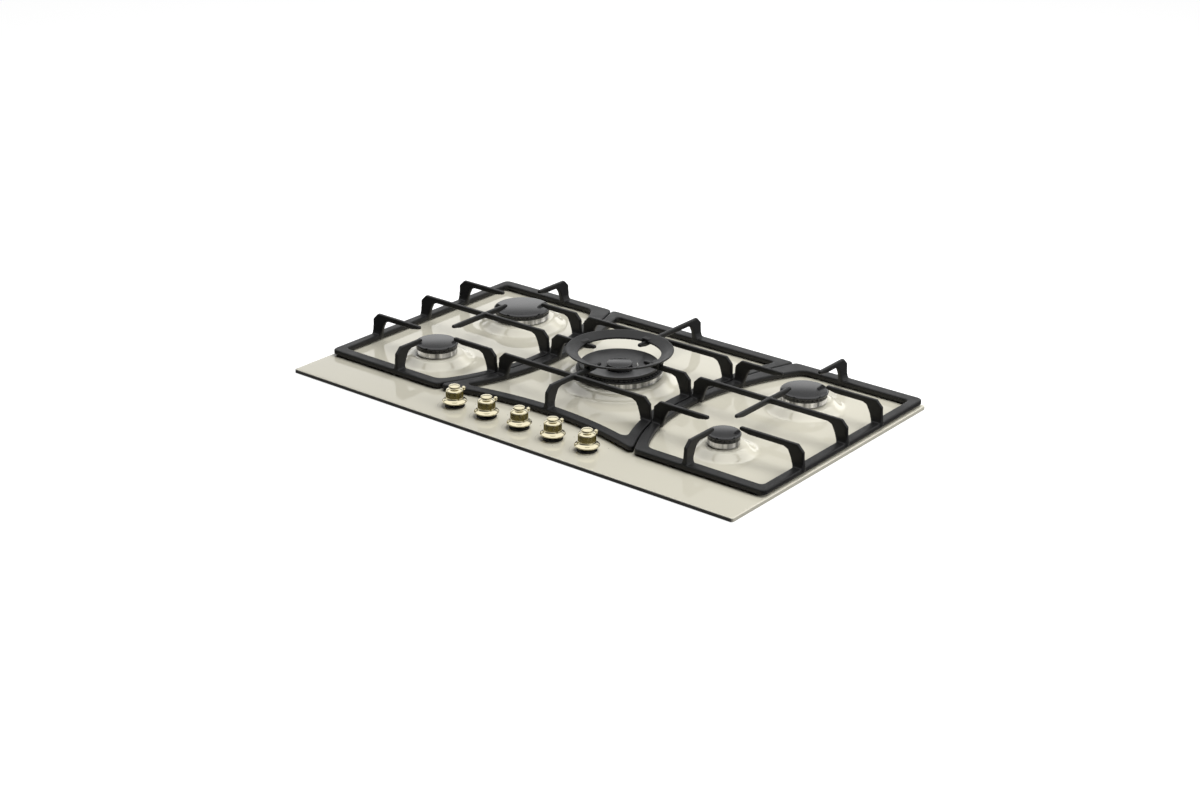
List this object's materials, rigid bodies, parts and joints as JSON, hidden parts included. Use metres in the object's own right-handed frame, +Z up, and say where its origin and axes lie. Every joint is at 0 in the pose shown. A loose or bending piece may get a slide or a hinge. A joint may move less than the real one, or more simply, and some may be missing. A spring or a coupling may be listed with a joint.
{
  "type": "gas cooktop",
  "caption": "Built-in gas cooktop: cream enamel panel, burners with raised seats and black caps, cast-iron pan supports, a wok ring and push-and-turn brass knobs with lever pins.",
  "frame": {"origin": "centre of the underside of the casing, which is the bottom centre of the bounding box", "axes": "+X runs along the front from left to right, +Y points to the back, +Z points up"},
  "size_m": [0.86, 0.52, 0.1065],
  "materials": {
    "cream_enamel": "glossy cream vitreous enamel",
    "black_rubber": "matt black rubber",
    "cast_iron": "satin black enamel on cast iron",
    "black_cap_enamel": "satin black vitreous enamel",
    "burner_alloy": "machined alloy",
    "brass": "polished brass",
    "white_ceramic": "unglazed white ceramic",
    "grey_plastic": "moulded plastic",
    "zinc_steel": "zinc-plated steel"
  },
  "bodies": {
    "base": {"top_panel": "cream_enamel", "burner_seats": "cream_enamel", "panel_seal": "black_rubber", "bottom_tray": "zinc_steel", "casing_walls": "zinc_steel", "tray_screws": "zinc_steel", "clamp_brackets": "zinc_steel", "clamp_screws": "zinc_steel", "rear_left_cup": "burner_alloy", "front_left_cup": "burner_alloy", "wok_cup": "burner_alloy", "rear_right_cup": "burner_alloy", "front_right_cup": "burner_alloy", "injectors": "brass", "electrode_insulators": "white_ceramic", "electrode_pins": "zinc_steel", "thermocouples": "zinc_steel", "tap_bodies": "brass", "gas_rail": "zinc_steel", "gas_inlet_elbow": "brass", "feed_pipes": "burner_alloy", "ignition_box": "grey_plastic", "knob_gaskets": "black_rubber", "cable_gland": "black_rubber"},
    "left_support": {"left_grate": "cast_iron", "left_fingers": "cast_iron", "left_grate_feet": "black_rubber"},
    "middle_support": {"centre_grate": "cast_iron", "centre_fingers": "cast_iron", "centre_grate_feet": "black_rubber"},
    "right_support": {"right_grate": "cast_iron", "right_fingers": "cast_iron", "right_grate_feet": "black_rubber"},
    "wok_ring": {"wok_ring": "cast_iron"},
    "rear_left_burner": {"rear_left_spreader": "burner_alloy"},
    "rear_left_cap": {"rear_left_cap": "black_cap_enamel"},
    "front_left_burner": {"front_left_spreader": "burner_alloy"},
    "front_left_cap": {"front_left_cap": "black_cap_enamel"},
    "wok_burner": {"wok_spreader": "burner_alloy"},
    "wok_outer_cap": {"wok_outer_cap": "black_cap_enamel"},
    "wok_inner_cap": {"wok_inner_cap": "black_cap_enamel"},
    "rear_right_burner": {"rear_right_spreader": "burner_alloy"},
    "rear_right_cap": {"rear_right_cap": "black_cap_enamel"},
    "front_right_burner": {"front_right_spreader": "burner_alloy"},
    "front_right_cap": {"front_right_cap": "black_cap_enamel"},
    "tap_1": {"tap_plug_1": "burner_alloy"},
    "control_1": {"knob_1": "brass", "spindle_1": "zinc_steel"},
    "tap_2": {"tap_plug_2": "burner_alloy"},
    "control_2": {"knob_2": "brass", "spindle_2": "zinc_steel"},
    "tap_3": {"tap_plug_3": "burner_alloy"},
    "control_3": {"knob_3": "brass", "spindle_3": "zinc_steel"},
    "tap_4": {"tap_plug_4": "burner_alloy"},
    "control_4": {"knob_4": "brass", "spindle_4": "zinc_steel"},
    "tap_5": {"tap_plug_5": "burner_alloy"},
    "control_5": {"knob_5": "brass", "spindle_5": "zinc_steel"}
  },
  "joints": [
    {"name": "left_support_lift", "type": "slide", "parent": "base", "child": "left_support", "axis": [0, 0, 1], "range_m": [0, 0.08]},
    {"name": "middle_support_lift", "type": "slide", "parent": "base", "child": "middle_support", "axis": [0, 0, 1], "range_m": [0, 0.08]},
    {"name": "right_support_lift", "type": "slide", "parent": "base", "child": "right_support", "axis": [0, 0, 1], "range_m": [0, 0.08]},
    {"name": "wok_ring_lift", "type": "slide", "parent": "middle_support", "child": "wok_ring", "axis": [0, 0, 1], "range_m": [0, 0.06]},
    {"name": "rear_left_burner_lift", "type": "slide", "parent": "base", "child": "rear_left_burner", "axis": [0, 0, 1], "range_m": [0, 0.005]},
    {"name": "rear_left_cap_lift", "type": "slide", "parent": "rear_left_burner", "child": "rear_left_cap", "axis": [0, 0, 1], "range_m": [0, 0.0035]},
    {"name": "front_left_burner_lift", "type": "slide", "parent": "base", "child": "front_left_burner", "axis": [0, 0, 1], "range_m": [0, 0.005]},
    {"name": "front_left_cap_lift", "type": "slide", "parent": "front_left_burner", "child": "front_left_cap", "axis": [0, 0, 1], "range_m": [0, 0.0035]},
    {"name": "wok_burner_lift", "type": "slide", "parent": "base", "child": "wok_burner", "axis": [0, 0, 1], "range_m": [0, 0.005]},
    {"name": "wok_outer_cap_lift", "type": "slide", "parent": "wok_burner", "child": "wok_outer_cap", "axis": [0, 0, 1], "range_m": [0, 0.0035]},
    {"name": "wok_inner_cap_lift", "type": "slide", "parent": "wok_burner", "child": "wok_inner_cap", "axis": [0, 0, 1], "range_m": [0, 0.012]},
    {"name": "rear_right_burner_lift", "type": "slide", "parent": "base", "child": "rear_right_burner", "axis": [0, 0, 1], "range_m": [0, 0.005]},
    {"name": "rear_right_cap_lift", "type": "slide", "parent": "rear_right_burner", "child": "rear_right_cap", "axis": [0, 0, 1], "range_m": [0, 0.0035]},
    {"name": "front_right_burner_lift", "type": "slide", "parent": "base", "child": "front_right_burner", "axis": [0, 0, 1], "range_m": [0, 0.005]},
    {"name": "front_right_cap_lift", "type": "slide", "parent": "front_right_burner", "child": "front_right_cap", "axis": [0, 0, 1], "range_m": [0, 0.0035]},
    {"name": "knob_1_turn", "type": "hinge", "parent": "base", "child": "tap_1", "pos_m": [-0.131, -0.207, 0.03], "axis": [0, 0, 1], "range_deg": [0, 210]},
    {"name": "knob_1_push", "type": "slide", "parent": "tap_1", "child": "control_1", "axis": [0, 0, -1], "range_m": [0, 0.003], "stiffness_N_per_m": 900, "springref_m": -0.002},
    {"name": "knob_2_turn", "type": "hinge", "parent": "base", "child": "tap_2", "pos_m": [-0.0655, -0.207, 0.03], "axis": [0, 0, 1], "range_deg": [0, 210]},
    {"name": "knob_2_push", "type": "slide", "parent": "tap_2", "child": "control_2", "axis": [0, 0, -1], "range_m": [0, 0.003], "stiffness_N_per_m": 900, "springref_m": -0.002},
    {"name": "knob_3_turn", "type": "hinge", "parent": "base", "child": "tap_3", "pos_m": [0, -0.207, 0.03], "axis": [0, 0, 1], "range_deg": [0, 210]},
    {"name": "knob_3_push", "type": "slide", "parent": "tap_3", "child": "control_3", "axis": [0, 0, -1], "range_m": [0, 0.003], "stiffness_N_per_m": 900, "springref_m": -0.002},
    {"name": "knob_4_turn", "type": "hinge", "parent": "base", "child": "tap_4", "pos_m": [0.0655, -0.207, 0.03], "axis": [0, 0, 1], "range_deg": [0, 210]},
    {"name": "knob_4_push", "type": "slide", "parent": "tap_4", "child": "control_4", "axis": [0, 0, -1], "range_m": [0, 0.003], "stiffness_N_per_m": 900, "springref_m": -0.002},
    {"name": "knob_5_turn", "type": "hinge", "parent": "base", "child": "tap_5", "pos_m": [0.131, -0.207, 0.03], "axis": [0, 0, 1], "range_deg": [0, 210]},
    {"name": "knob_5_push", "type": "slide", "parent": "tap_5", "child": "control_5", "axis": [0, 0, -1], "range_m": [0, 0.003], "stiffness_N_per_m": 900, "springref_m": -0.002}
  ]
}
